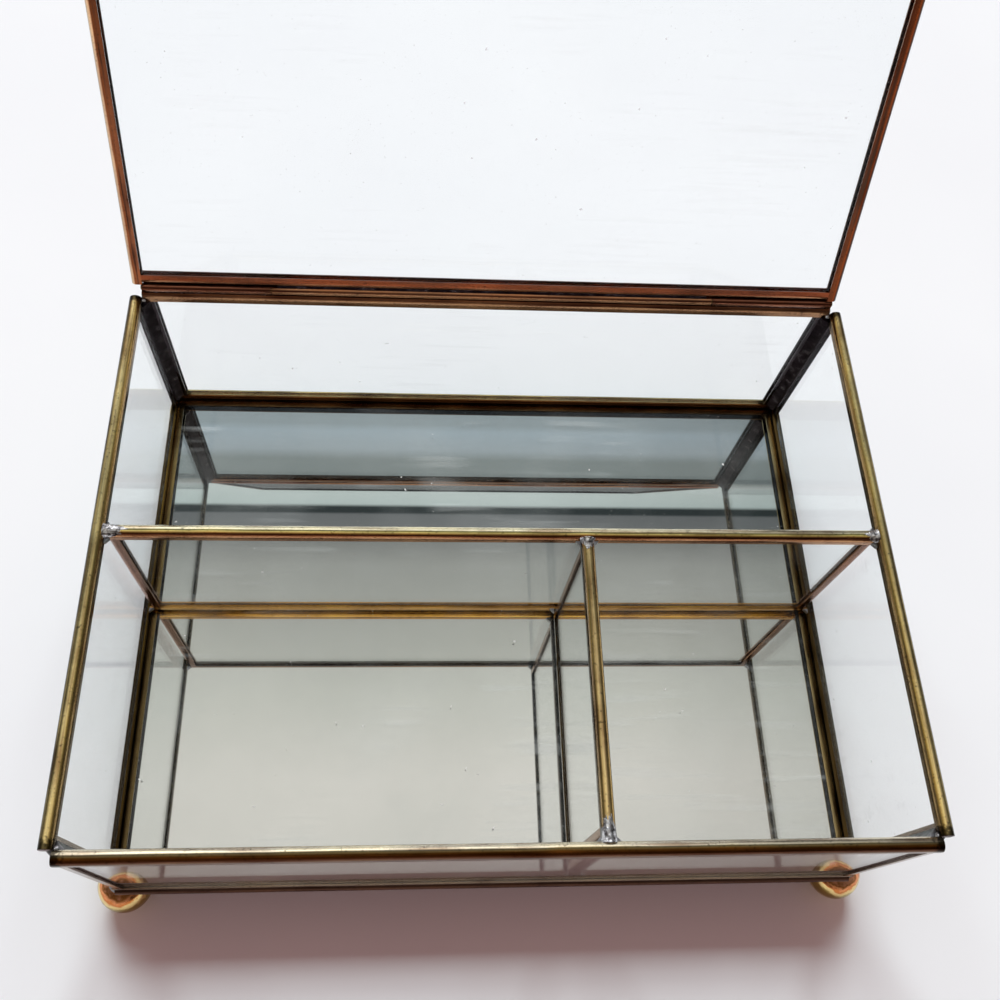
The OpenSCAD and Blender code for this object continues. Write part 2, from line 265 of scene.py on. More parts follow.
def brass(name, run, measure, *stops, tilt=0.0, rough=0.2, underside_shade=0.08, brighten=None, ends=None):
    """Aged brass whose tone changes across the channel. measure is a direction, when the
    place on the ramp is half of one plus the dot product of the normal with it, so that the
    ramp paints highlights, reflections and shade by the way each face points; or an axis
    and two places along it, which are 0 and 1. Noise drawn out 30 times along the run,
    and a broad noise, shift the tones across. Faces that look down keep only a set share
    of their tone, a painted shade under them. brighten is a low place, a high place and a
    gain along the run, up to which the tone rises; ends is half the rail's length, where
    flux has blackened its last few millimetres. Object coordinates are first turned by
    tilt about X, for the rails of the open lid."""
    material, tree, output = blank(name)
    coordinate = put(tree, "ShaderNodeTexCoord")
    where = coordinate.outputs["Object"]
    stretch = [1.0, 1.0, 1.0]
    stretch["XYZ".index(run)] = 30.0
    drawn = put(
        tree, "ShaderNodeMapping",
        {"Vector": where, "Rotation": (tilt, 0.0, 0.0), "Scale": tuple(stretch)}, vector_type="TEXTURE",
    ).outputs[0]
    streak = speckle(tree, drawn, 1100.0, 3.0)
    broad = speckle(tree, where, 60.0, 4.0)
    if isinstance(measure[0], str):
        axis, low, high = measure
        along = put(tree, "ShaderNodeSeparateXYZ", {0: where}).outputs[axis]
        across = spread(tree, along, low, high)
    else:
        # With a direction, the tone follows the way each face points: painted highlight, reflection and
        # shade.
        turn = put(
            tree, "ShaderNodeVectorMath", {0: coordinate.outputs["Normal"], 1: measure},
            operation="DOT_PRODUCT",
        ).outputs["Value"]
        across = reckon(tree, "MULTIPLY_ADD", turn, 0.5, 0.5)
    wander = 0.16
    shift = reckon(tree, "ADD", streak, broad)
    shift = reckon(tree, "MULTIPLY_ADD", shift, wander, -wander)
    place = reckon(tree, "ADD", across, shift)
    tone = shade(tree, place, *stops)
    worn = reckon(tree, "MULTIPLY", streak, broad)
    up = put(tree, "ShaderNodeSeparateXYZ", {0: coordinate.outputs["Normal"]}).outputs["Z"]
    # Faces that look down are darkened to a share of their tone: a painted shade under the rails and tubes.
    shade_below = spread(tree, up, -0.6, -0.25, underside_shade, 1.0)
    tone = scaled(tree, tone, shade_below)
    if brighten:
        low, high, gain = brighten
        along = put(tree, "ShaderNodeSeparateXYZ", {0: where}).outputs[run]
        rise = spread(tree, along, low, high, 1.0, gain)
        tone = scaled(tree, tone, rise)
    if ends:
        along = put(tree, "ShaderNodeSeparateXYZ", {0: where}).outputs[run]
        raggedness = 0.005
        scorched_share = 0.14
        out = reckon(tree, "ABSOLUTE", along)
        ragged = speckle(tree, where, 1300.0, 3.0)
        out = reckon(tree, "MULTIPLY_ADD", ragged, raggedness, out)
        scorch = spread(tree, out, ends - 0.0002, ends + 0.0014, 1.0, scorched_share)
        tone = scaled(tree, tone, scorch)
    patina = shade(
        tree, worn, (0.14, (0.52, 0.44, 0.40)), (0.24, (0.95, 0.95, 0.95)), (0.36, (1.25, 1.22, 1.12))
    )
    tone = mix(tree, 1.0, tone, patina, "MULTIPLY")
    grit = speckle(tree, where, 1500.0, 3.0)
    pits = shade(tree, grit, (0.28, 0.45), (0.40, 1.0), (0.64, 1.0), (0.76, 1.35))
    tone = mix(tree, 1.0, tone, pits, "MULTIPLY")
    fine = speckle(tree, drawn, 5200.0, 2.0)
    gloss = spread(tree, broad, 0.3, 0.7, rough * 0.7, rough * 1.3)
    relief = put(tree, "ShaderNodeBump", {"Height": fine, "Strength": 0.3, "Distance": 0.00005}).outputs[0]
    dents = put(
        tree, "ShaderNodeBump",
        {"Height": speckle(tree, drawn, 260.0, 2.0), "Strength": 0.5, "Distance": 0.0002, "Normal": relief},
    ).outputs[0]
    bare_metal(tree, output, tone, gloss, dents)
    return material


# The rims, on top of the walls and dividers, are rubbed by the hand and the lid. Their
# tone follows the way each face points: gold on the round back with a painted highlight,
# painted shade along the outer flank, and red-brown towards the front.
side_rim_shading = (
    (0.13, (0.03, 0.022, 0.01)), (0.26, (0.42, 0.33, 0.14)), (0.48, (0.86, 0.67, 0.32)),
    (0.64, (0.84, 0.63, 0.26)), (0.78, (0.42, 0.27, 0.07)), (0.95, (0.42, 0.28, 0.13)),
    (1.0, (0.09, 0.055, 0.02)),
)
side_end = float(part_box("left_top_rail")[1][1])
front_end = float(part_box("front_top_rail")[1][0])
dress(brass("left_rim_brass", "Y", (1, 0, 0), *side_rim_shading, ends=side_end), "left_top_rail")
dress(brass("right_rim_brass", "Y", (-1, 0, 0), *side_rim_shading, ends=side_end), "right_top_rail")
# The short divider's rim is bright gold where it faces up, a painted highlight, and darkens towards both
# flanks.
dress(
    brass(
        "short_divider_brass", "Y", (1, 0, 0), (0.02, (0.05, 0.03, 0.01)), (0.09, (0.40, 0.30, 0.18)),
        (0.20, (0.40, 0.26, 0.08)), (0.5, (0.88, 0.66, 0.32)), (0.8, (0.60, 0.40, 0.14)),
        (0.97, (0.28, 0.19, 0.08)),
    ),
    "short_divider_top_rail",
)
# The front rim: cream on the back of its crown, a painted highlight, then olive and deep red-brown oxide over
# the front, darkened further as a painted reflection of the dim room.
dress(
    brass(
        "front_rim_brass", "X", (0, -1, 0), (0.16, (0.72, 0.64, 0.50)), (0.34, (0.70, 0.62, 0.46)),
        (0.42, (0.22, 0.17, 0.09)), (0.52, (0.15, 0.10, 0.04)), (0.60, (0.12, 0.05, 0.01)),
        (0.72, (0.30, 0.10, 0.02)), (0.86, (0.11, 0.04, 0.02)), (1.0, (0.15, 0.09, 0.06)), ends=front_end,
    ),
    "front_top_rail",
)
# The long divider's rim: a cream painted highlight on the back of its crown, olive and gold over the top, a
# dark line of painted shade in the fold, and a copper front flange with a painted reflection of the mirror.
dress(
    brass(
        "long_divider_brass", "X", (0, -1, 0), (0.42, (0.78, 0.72, 0.50)), (0.50, (0.36, 0.31, 0.12)),
        (0.56, (0.38, 0.33, 0.12)), (0.63, (0.74, 0.60, 0.24)), (0.72, (0.64, 0.38, 0.12)),
        (0.80, (0.20, 0.045, 0.012)), (0.88, (0.56, 0.24, 0.11)), (0.98, (0.50, 0.27, 0.14)),
    ),
    "long_divider_top_rail",
)
# The back rim, under the hinge: near black where it faces back and up, a painted shade, and red-brown to gold
# where it faces the front, a painted highlight.
dress(
    brass(
        "back_rim_brass", "X", (0, -1, 0), (0.45, (0.05, 0.008, 0.002)), (0.62, (0.06, 0.014, 0.004)),
        (0.80, (0.27, 0.10, 0.045)), (0.95, (0.52, 0.29, 0.16)), (1.0, (0.40, 0.21, 0.11)),
    ),
    "back_top_rail",
)

# Of the bottom rails, those of the sides and of the short divider are nearly black, the
# side ones lighter towards the back. The front one is dull brown, and the back one and
# the long divider's have kept their gold.
wall_low, wall_high = (np.array(corner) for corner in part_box("back_bottom_rail"))
thick = wall_high[1] - wall_low[1]
side_high = float(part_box("right_bottom_rail")[1][0])
left_stops = ((0.16, (0.08, 0.048, 0.010)), (0.24, (0.024, 0.015, 0.008)), (1.0, (0.018, 0.012, 0.007)))
right_stops = ((0.16, (0.08, 0.047, 0.012)), (0.24, (0.08, 0.05, 0.026)), (1.0, (0.07, 0.052, 0.034)))
back_stops = ((0.16, (0.19, 0.075, 0.022)), (0.26, (0.74, 0.62, 0.34)), (1.0, (0.76, 0.66, 0.37)))
side_inner = float(side_high - thick)
lighter_from = -0.02
lighter_to = 0.06
dress(
    brass("back_bottom_brass", "X", ("Y", float(wall_low[1]), float(wall_high[1])), *back_stops),
    "back_bottom_rail",
)
dress(
    brass(
        "left_bottom_brass", "Y", ("X", -side_inner, -side_high), *left_stops,
        brighten=(lighter_from, lighter_to, 3.4),
    ),
    "left_bottom_rail",
)
dress(
    brass(
        "right_bottom_brass", "Y", ("X", side_inner, side_high), *right_stops,
        brighten=(lighter_from, lighter_to, 2.2),
    ),
    "right_bottom_rail",
)
dress(
    brass(
        "front_bottom_brass", "X", (0, -1, 0), (0.5, (0.38, 0.28, 0.21)), (1.0, (0.38, 0.28, 0.21)),
        rough=0.5,
    ),
    "front_bottom_rail",
)
# The long divider's bottom rail grows brighter towards the face that looks forward, a painted highlight.
divider_highlight_stops = (
    (0.1, (0.30, 0.15, 0.05)), (0.5, (0.60, 0.33, 0.11)), (0.75, (0.74, 0.33, 0.06)),
    (1.0, (0.94, 0.50, 0.10)),
)
dress(brass("long_bottom_brass", "X", (0, -1, 0), *divider_highlight_stops, underside_shade=1.0), "long_divider_bottom_rail")
dress(
    brass(
        "short_bottom_brass", "Y", (1, 0, 0), (0.0, (0.08, 0.058, 0.026)), (0.5, (0.075, 0.052, 0.022)),
        (1.0, (0.04, 0.028, 0.012)),
    ),
    "short_divider_bottom_rail",
)

# The base frame is folded from a wider strip, whose upper flange shows along the foot of
# the walls as a dull gold border on the mirror.
left_border = ((0.45, (0.06, 0.025, 0.01)), (0.5, (0.09, 0.055, 0.022)), (1.0, (0.14, 0.10, 0.042)))
right_border = ((0.36, (0.13, 0.075, 0.028)), (0.48, (0.25, 0.18, 0.07)), (1.0, (0.42, 0.32, 0.155)))
edge_shade_stops = (
    (0.45, (0.22, 0.15, 0.11)), (0.70, (0.20, 0.13, 0.10)), (0.82, (0.08, 0.035, 0.02)),
    (1.0, (0.11, 0.05, 0.03)),
)
base_x = float(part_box("base_right_rail")[1][0])
base_inner = float(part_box("base_right_rail")[0][0])
# The base's front rail is darkest where its round edge faces forward and down: a painted reflection of the
# shadow on the table.
dress(brass("base_front_brass", "X", (0, -1, 0), *edge_shade_stops, rough=0.4), "base_front_rail")
dress(
    brass("base_back_brass", "X", (0, 0, 1), (0.9, (0.22, 0.13, 0.055)), (1.0, (0.27, 0.165, 0.07))),
    "base_back_rail",
)
dress(
    brass(
        "base_left_brass", "Y", ("X", -base_x, -base_inner), *left_border,
        brighten=(lighter_from, lighter_to, 3.4),
    ),
    "base_left_rail",
)
dress(
    brass(
        "base_right_brass", "Y", ("X", base_x, base_inner), *right_border,
        brighten=(lighter_from, lighter_to, 1.8),
    ),
    "base_right_rail",
)

# The upright stiles at the back corners are blackened by flux; the others less so.
stile_reach = 0.08
dress(
    brass(
        "dark_stile_brass", "Z", ("Z", 0.0, stile_reach), (0.0, (0.03, 0.02, 0.026)),
        (1.0, (0.036, 0.024, 0.030)),
    ),
    "back_left_stile", "back_right_stile", "left_back_stile", "right_back_stile",
)
dress(
    brass(
        "front_stile_brass", "Z", ("Z", 0.0, stile_reach), (0.0, (0.26, 0.20, 0.16)),
        (1.0, (0.32, 0.27, 0.24)),
    ),
    "front_left_stile", "front_right_stile", "left_front_stile", "right_front_stile",
)
dress(
    brass(
        "divider_stile_brass", "Z", (0, -1, 0), (0.0, (0.26, 0.09, 0.02)), (0.5, (0.34, 0.13, 0.03)),
        (0.85, (0.22, 0.05, 0.01)), (1.0, (0.20, 0.065, 0.015)),
    ),
    "long_divider_left_stile", "long_divider_right_stile",
)
dress(
    brass(
        "short_stile_brass", "Z", (-1, 0, 0), (0.0, (0.10, 0.05, 0.02)), (0.5, (0.11, 0.045, 0.014)),
        (1.0, (0.28, 0.14, 0.06)),
    ),
    "short_divider_back_stile", "short_divider_front_stile",
)


# ---------------------------------------------------------------- lid channel
# The same strip round the lid. It has gone redder than the box, and its side rails slope
# back with the open lid, so their streaks are turned to run along them.
lid_low, lid_high = (np.array(corner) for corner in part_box("lid_pane"))
lid_tilt = float(np.arctan2(lid_high[2] - lid_low[2], lid_high[1] - lid_low[1]))
lid_up = np.array((0.0, np.cos(lid_tilt), np.sin(lid_tilt)))
# On the lid's left, hinge and front rails the tone follows the way each face points: bright orange-copper on
# one side of the crown, a painted highlight, and dark red-brown on the other, a painted shade.
lid_side_shading = (
    (0.45, (0.05, 0.035, 0.03)), (0.5, (0.32, 0.11, 0.05)), (0.62, (0.26, 0.07, 0.02)),
    (0.72, (0.85, 0.52, 0.31)), (0.85, (0.62, 0.43, 0.28)), (0.97, (0.36, 0.27, 0.18)),
)
lid_cross_shading = (
    (0.30, (0.14, 0.07, 0.05)), (0.45, (0.30, 0.12, 0.07)), (0.52, (0.25, 0.065, 0.027)),
    (0.58, (0.30, 0.08, 0.035)), (0.72, (0.48, 0.25, 0.14)), (0.9, (0.30, 0.10, 0.05)),
)
# The lid's right rail is red on its crown and near black on its outer flank, a painted shade.
dress(
    brass(
        "lid_brass_right", "Y", (1, 0, 0), (0.45, (0.14, 0.08, 0.055)), (0.5, (0.17, 0.05, 0.021)),
        (0.62, (0.24, 0.056, 0.017)), (0.72, (0.08, 0.019, 0.006)), (0.85, (0.022, 0.011, 0.005)),
        (0.97, (0.022, 0.014, 0.009)), tilt=lid_tilt, brighten=(0.080, 0.106, 1.4),
    ),
    "lid_right_rail",
)
dress(brass("lid_brass_left", "Y", (-1, 0, 0), *lid_side_shading, tilt=lid_tilt), "lid_left_rail")
dress(brass("lid_brass_front", "X", tuple(lid_up), *lid_cross_shading), "lid_front_rail")
dress(brass("lid_brass_hinge", "X", tuple(-lid_up), *lid_cross_shading), "lid_hinge_rail")


# ---------------------------------------------------------------- hinge
# Three lengths of drawn brass tube on one rod, soldered turn about to the box and to the
# lid. The end knuckles are as red as the lid; the centre one is rubbed paler.
end_knuckle_shading = (
    (0.4, (0.10, 0.03, 0.015)), (0.6, (0.42, 0.18, 0.11)), (0.8, (0.46, 0.24, 0.16)),
    (1.0, (0.20, 0.06, 0.03)),
)
centre_knuckle_shading = (
    (0.4, (0.14, 0.04, 0.015)), (0.6, (0.44, 0.18, 0.09)), (0.8, (0.62, 0.36, 0.21)),
    (1.0, (0.36, 0.16, 0.08)),
)
# Round each tube the tone is dark where it faces back and down, a painted shade, and lightest a little short
# of front and up, a painted highlight.
tube_front = (0.0, -0.7, 0.7)
dress(brass("end_knuckle_brass", "X", tube_front, *end_knuckle_shading), "hinge_left_knuckle", "hinge_right_knuckle")
dress(brass("centre_knuckle_brass", "X", tube_front, *centre_knuckle_shading), "hinge_centre_knuckle")
dress(brass("hinge_wire", "X", (0, 0, 1), (0.0, (0.34, 0.26, 0.11)), (1.0, (0.30, 0.22, 0.10))), "hinge_rod")


# ---------------------------------------------------------------- solder
# Soft solder: the seams down the four corners with their collars round the feet, the
# fillets of the dividers and the runs along the hinge. It is dull grey where it was wiped
# in front, and black with burnt flux at the back and under the hinge.
def solder(name, dark, mid, light, lump, grain=400.0, gloss=0.24):
    """Metal in soft blotches of three tones, with a slow bump for its frozen surface.
    grain is the scale of both, in waves a metre, and gloss its lowest roughness."""
    material, tree, output = blank(name)
    where = put(tree, "ShaderNodeTexCoord").outputs["Object"]
    blotch = speckle(tree, where, grain, 4.0)
    tone = shade(tree, blotch, (0.35, dark), (0.55, mid), (0.72, light))
    rough = spread(tree, blotch, 0.3, 0.7, gloss + 0.18, gloss)
    lumps = put(
        tree, "ShaderNodeBump",
        {"Height": speckle(tree, where, 1.2 * grain, 3.0), "Strength": lump, "Distance": 0.0003},
    ).outputs[0]
    bare_metal(tree, output, tone, rough, lumps)
    return material


wiped_solder = solder("wiped_solder", (0.20, 0.20, 0.22), (0.34, 0.345, 0.37), (0.50, 0.50, 0.53), 0.25)
burnt_solder = solder("burnt_solder", (0.018, 0.012, 0.016), (0.035, 0.026, 0.034), (0.16, 0.14, 0.16), 0.45)
dress(wiped_solder, "seam_front_left", "seam_front_right", "long_divider_solder", "short_divider_solder")
dress(burnt_solder, "seam_back_left", "seam_back_right", "hinge_box_solder", "hinge_lid_solder")


# ---------------------------------------------------------------- solder on the rims
# Bright drops and smears left on top of the rails where the dividers and the corners
# were joined. Each smear climbs the rail it was run against and thins out along its own.
def closed_shell(name, outer, inner, body):
    """A solid between two grids of points of one size: both grids as faces, the inner one
    turned over, and a strip of faces round their joined edges. Its volume is the sum of
    a . (b x c) / 6 over its triangles, and where that is negative all faces are flipped."""
    rows, columns = outer.shape[:2]
    index = np.arange(rows * columns).reshape(rows, columns)
    lid = np.stack([index[:-1, :-1], index[1:, :-1], index[1:, 1:], index[:-1, 1:]], axis=-1).reshape(-1, 4)
    rim = np.concatenate([index[0, :-1], index[:-1, -1], index[-1, :0:-1], index[:0:-1, 0]])
    after = np.roll(rim, -1)
    drop = rows * columns
    wall = np.stack([rim, after, after + drop, rim + drop], axis=-1)
    faces = np.vstack([lid, lid[:, ::-1] + drop, wall])
    points = np.vstack([outer.reshape(-1, 3), inner.reshape(-1, 3)])
    corners = points[faces] - points.mean(axis=0)
    fan = np.concatenate([corners[:, [0, 1, 2]], corners[:, [0, 2, 3]]])
    if np.einsum("ij,ij->", fan[:, 0], np.cross(fan[:, 1], fan[:, 2])) < 0.0:
        faces = faces[:, ::-1]
    mesh = bpy.data.meshes.new(name)
    mesh.from_pydata(points.tolist(), [], faces.tolist())
    mesh.update()
    mesh.shade_smooth()
    return fit_piece(name, mesh, body)


rim_box = [np.array(corner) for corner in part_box("long_divider_top_rail")]
back_radius = (rim_box[1][1] - rim_box[0][1]) / 2.0


def smear(name, joint, along, length, point, depth, seed):
    """Solder run out along a rail from a joint. u goes along the rail and v round its
    back. It reaches length times one less point times |v|, made ragged by sines; it is
    depth thick at the joint, thins as (1 - u) squared, and climbs where it starts."""
    u, v = np.meshgrid(np.linspace(0.0, 1.0, 28), np.linspace(-1.0, 1.0, 33), indexing="ij")
    turn = v * radians(78.0)
    ragged = 1.0 + 0.14 * np.sin(9.0 * v + seed) + 0.09 * np.sin(23.0 * v + 2.0 * seed)
    reach = length * (1.0 - point * np.abs(v)) * ragged
    lumps = 0.16 * np.sin(11.0 * u + 5.0 * v + seed) * np.sin(7.0 * v - 4.0 * u + seed)
    climb = np.exp(-u * reach / 0.0005)
    thickness = depth * ((1.0 - u) ** 2 * (1.0 + lumps) + 0.9 * climb) + 0.00003
    along = np.array(along, dtype=float)
    side = np.cross((0.0, 0.0, 1.0), along)
    ring = np.sin(turn)[..., None] * side + np.cos(turn)[..., None] * np.array((0.0, 0.0, 1.0))
    spine = np.array(joint) + (u * reach)[..., None] * along
    outer = spine + ring * (back_radius + thickness)[..., None]
    inner = spine + ring * (back_radius - 0.00015)
    return closed_shell(name, outer, inner, "box")


def drop(name, centre, size, seed):
    """A lumpy ball of solder: a sphere on a grid whose radius swells by sines, closed at
    its poles and stretched to size."""
    polar, round_ = np.meshgrid(np.linspace(0.0, pi, 17), np.linspace(0.0, 2.0 * pi, 33), indexing="ij")
    swell = 1.0 + 0.10 * np.sin(3.0 * round_ + seed) * np.sin(polar) ** 2 + 0.08 * np.cos(4.0 * polar + seed)
    unit = np.stack([np.sin(polar) * np.cos(round_), np.sin(polar) * np.sin(round_), np.cos(polar)], axis=-1)
    grid = np.array(centre) + unit * swell[..., None] * np.array(size)
    rows, columns = grid.shape[:2]
    index = np.arange(rows * columns).reshape(rows, columns)
    faces = np.stack([index[:-1, :-1], index[1:, :-1], index[1:, 1:], index[:-1, 1:]], axis=-1).reshape(-1, 4)
    mesh = bpy.data.meshes.new(name)
    mesh.from_pydata(grid.reshape(-1, 3).tolist(), [], faces.tolist())
    shape = bmesh.new()
    shape.from_mesh(mesh)
    bmesh.ops.remove_doubles(shape, verts=shape.verts, dist=1e-7)
    bmesh.ops.recalc_face_normals(shape, faces=shape.faces)
    shape.to_mesh(mesh)
    shape.free()
    mesh.shade_smooth()
    return fit_piece(name, mesh, "box")


bright_solder = solder(
    "bright_solder", (0.10, 0.09, 0.09), (0.66, 0.65, 0.67), (0.98, 0.98, 0.98), 1.0,
    grain=900.0, gloss=0.12,
)
spine_z = rim_box[1][2] - back_radius
spine_y = (rim_box[0][1] + rim_box[1][1]) / 2.0
left_x, right_x = rim_box[0][0], rim_box[1][0]
short_low, short_high = (np.array(corner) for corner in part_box("short_divider_top_rail"))
short_x = (short_low[0] + short_high[0]) / 2.0
# Each smear: its joint, its way along the rail, its length, point, depth and seed. All
# start a bite inside the rail that they were run against.
bite = 0.0005
smears = [
    smear("solder_divider_left", (left_x - bite, spine_y, spine_z), (1, 0, 0), 0.0055, 0.55, 0.00026, 0.6),
    smear("solder_divider_right", (right_x + bite, spine_y, spine_z), (-1, 0, 0), 0.0035, 0.60, 0.00022, 2.1),
    smear(
        "solder_short_back", (short_x, short_high[1] + bite, spine_z), (0, -1, 0),
        0.0032, 0.72, 0.00030, 3.3,
    ),
    smear(
        "solder_short_front", (short_x, short_low[1] - bite, spine_z), (0, 1, 0),
        0.0060, 0.50, 0.00028, 4.4,
    ),
]
top_high = np.array(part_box("front_top_rail")[1])
corner_x, corner_y = top_high[0], -top_high[1]
drop_x = corner_x - 0.0002
drop_y = corner_y - 0.0002
drop_z = top_high[2] - 0.0021
drop_size = (0.0007, 0.0007, 0.0006)
drops = [
    drop("solder_drop_" + name, (side_x * drop_x, side_y * drop_y, drop_z), drop_size, seed)
    for name, side_x, side_y, seed in (
        ("front_left", -1, -1, 0.3), ("front_right", 1, -1, 1.7),
        ("back_left", -1, 1, 2.9), ("back_right", 1, 1, 4.1),
    )
]
for piece in smears + drops:
    piece.data.materials.append(bright_solder)


# ---------------------------------------------------------------- dried flux
# Dark red-brown flux that was never cleaned off: a lip of it on the lid's hinge rail by
# each end knuckle, which curls round the tube without touching it, and a thin cap that
# closes each open end of the four top rails.
def arc_strip(name, spans, radii, angles, body):
    """A curved bar along X: the space between two radii about the hinge axis, over a range
    of angles measured from +Y towards +Z. It thins to an edge at both ends of the arc."""
    x, angle = np.meshgrid(np.linspace(*spans, 60), np.radians(np.linspace(*angles, 17)), indexing="ij")
    share = np.sin(np.linspace(0.0, pi, 17)) ** 0.5
    ragged = 1.0 + 0.10 * np.sin(900.0 * x) * np.sin(2100.0 * x + 1.0)
    rim = radii[0] + (radii[1] - radii[0]) * share * ragged
    ring = np.stack([np.zeros_like(angle), np.cos(angle), np.sin(angle)], axis=-1)
    middle = np.stack([x, np.full_like(x, hinge_axis[0]), np.full_like(x, hinge_axis[1])], axis=-1)
    return closed_shell(
        name, middle + ring * rim[..., None], middle + ring * (radii[0] - 0.00001), body
    )


tube_low, tube_high = (np.array(corner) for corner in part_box("hinge_left_knuckle"))
hinge_axis = (tube_low[1:] + tube_high[1:]) / 2.0
tube_radius = (tube_high[2] - tube_low[2]) / 2.0
rail_low = np.array(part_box("lid_hinge_rail")[0])
rail_middle = rail_low[1:] + back_radius
bearing = float(np.degrees(np.arctan2(rail_middle[1] - hinge_axis[1], rail_middle[0] - hinge_axis[0])))
flux = solder("dried_flux", (0.03, 0.008, 0.004), (0.06, 0.016, 0.008), (0.13, 0.055, 0.035), 0.5)
lip_inset = 0.0004
lip_overrun = 0.0019
lip_radii = (tube_radius + 0.00010, tube_radius + 0.00024)
lip_half_arc = 42.0
lip_arc = (bearing - lip_half_arc, bearing + lip_half_arc)
for side, spans in (
    ("left", (tube_low[0] + lip_inset, tube_high[0] + lip_overrun)),
    ("right", (-tube_high[0] - lip_overrun, -tube_low[0] - lip_inset)),
):
    lip = arc_strip("hinge_flux_" + side, spans, lip_radii, lip_arc, "lid")
    lip.data.materials.append(flux)


def end_cap(name, rail, direction):
    """A thin plate over a rail's open end: rings shrunk from the channel's outline, a half
    circle on two straight legs, and bulged outwards by a parabola."""
    low, high = (np.array(corner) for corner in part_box(rail))
    way = np.array(direction, dtype=float)
    side = np.cross((0.0, 0.0, 1.0), way)
    middle = (low + high) / 2.0
    tip = middle + way * (np.abs(way) @ (high - low)) / 2.0
    tip[2] = high[2] - back_radius
    turn = np.linspace(0.0, pi, 19)
    across = np.concatenate([[1.0], np.cos(turn), [-1.0]]) * back_radius
    height = np.concatenate([[0.0], np.sin(turn) * back_radius, [0.0]])
    height[[0, -1]] = low[2] - tip[2]
    share = np.linspace(0.04, 1.0, 8)[:, None]
    centre_height = -0.0003
    plan_across = across * share
    plan_height = centre_height + (height - centre_height) * share
    bulge = 0.00005 + 0.00018 * (1.0 - share ** 2) * np.ones_like(plan_across)
    grid = tip + plan_across[..., None] * side + plan_height[..., None] * np.array((0.0, 0.0, 1.0))
    # The outline's foot is closed by its own first point, so each ring is a closed loop.
    grid = np.concatenate([grid, grid[:, :1]], axis=1)
    bulge = np.concatenate([bulge, bulge[:, :1]], axis=1)
    outer = grid + bulge[..., None] * way
    inner = grid + 0.00002 * way
    return closed_shell(name, outer, inner, "box")


for rail, ways in (
    ("front_top_rail", ((-1, 0, 0), (1, 0, 0))), ("back_top_rail", ((-1, 0, 0), (1, 0, 0))),
    ("left_top_rail", ((0, -1, 0), (0, 1, 0))), ("right_top_rail", ((0, -1, 0), (0, 1, 0))),
):
    for number, way in enumerate(ways):
        cap = end_cap("cap_" + rail + "_" + "ab"[number], rail, way)
        cap.data.materials.append(flux)


# ---------------------------------------------------------------- ball feet
# Four solid brass balls, polished and lacquered, soldered under the corners. They keep
# the brightest finish on the box.
def polished(name):
    """Bright brass with faint handling marks in its gloss. The height of the face's own
    direction, shifted by a cloud, picks the tone, which paints the balls' reflections:
    gold below, dark olive at the side, then a gold ring and copper-red to orange with dark
    bands on top."""
    material, tree, output = blank(name)
    coordinate = put(tree, "ShaderNodeTexCoord")
    where = coordinate.outputs["Object"]
    cloud = speckle(tree, where, 320.0, 4.0)
    up = put(tree, "ShaderNodeSeparateXYZ", {0: coordinate.outputs["Normal"]}).outputs["Z"]
    height = reckon(tree, "MULTIPLY_ADD", up, 0.5, 0.5)
    shift = reckon(tree, "MULTIPLY_ADD", cloud, 0.3, -0.15)
    place = reckon(tree, "ADD", height, shift)
    tone = shade(
        tree, place, (0.40, (0.80, 0.62, 0.26)), (0.50, (0.34, 0.25, 0.07)), (0.66, (0.44, 0.33, 0.10)),
        (0.71, (0.88, 0.67, 0.28)), (0.77, (0.88, 0.64, 0.27)), (0.80, (0.60, 0.18, 0.04)),
        (0.86, (0.92, 0.38, 0.16)), (0.90, (0.34, 0.12, 0.02)), (0.95, (0.95, 0.44, 0.24)),
    )
    rough = shade(tree, place, (0.55, 0.10), (0.80, 0.12), (0.88, 0.42))
    nicks = put(
        tree, "ShaderNodeBump",
        {"Height": speckle(tree, where, 900.0, 2.0), "Strength": 0.15, "Distance": 0.0001},
    ).outputs[0]
    bare_metal(tree, output, tone, rough, nicks)
    return material


dress(polished("ball_brass"), "foot_front_left", "foot_front_right", "foot_back_left", "foot_back_right")


# ---------------------------------------------------------------- floor
# A white table top, very slightly cool, that carries on past every edge of the view. Far
# from the box it takes on the tone of the background, so that no edge shows.
floor_half = 30.0
steps = np.linspace(-floor_half, floor_half, 3)
grid_x, grid_y = np.meshgrid(steps, steps)
floor_points = np.stack([grid_x.ravel(), grid_y.ravel(), np.zeros(9)], axis=1)
floor_mesh = bpy.data.meshes.new("floor")
floor_faces = [
    (row * 3 + column, row * 3 + column + 1, row * 3 + column + 4, row * 3 + column + 3)
    for row in (0, 1) for column in (0, 1)
]
floor_mesh.from_pydata(floor_points.tolist(), [], floor_faces)
floor = bpy.data.objects.new("floor", floor_mesh)
bpy.context.scene.collection.objects.link(floor)
floor_material, tree, output = blank("white_table")
where = put(tree, "ShaderNodeTexCoord").outputs["Object"]
wash = speckle(tree, where, 6.0, 3.0)
tone = shade(tree, wash, (0.35, (0.85, 0.86, 0.885)), (0.65, (0.88, 0.89, 0.91)))
paint = put(
    tree, "ShaderNodeBsdfPrincipled", {"Base Color": tone, "Roughness": 0.6, "Specular IOR Level": 0.2}
)
backdrop_tone = (0.88, 0.89, 0.92, 1.0)
away = put(tree, "ShaderNodeVectorMath", {0: where}, operation="LENGTH").outputs["Value"]
far = spread(tree, away, 0.7, 2.2, ease="SMOOTHSTEP")
path = put(tree, "ShaderNodeLightPath")
direct = reckon(tree, "SUBTRACT", 1.0, path.outputs["Is Diffuse Ray"])
faded = reckon(tree, "MULTIPLY", far, direct)
backdrop = put(tree, "ShaderNodeEmission", {"Color": backdrop_tone}).outputs[0]
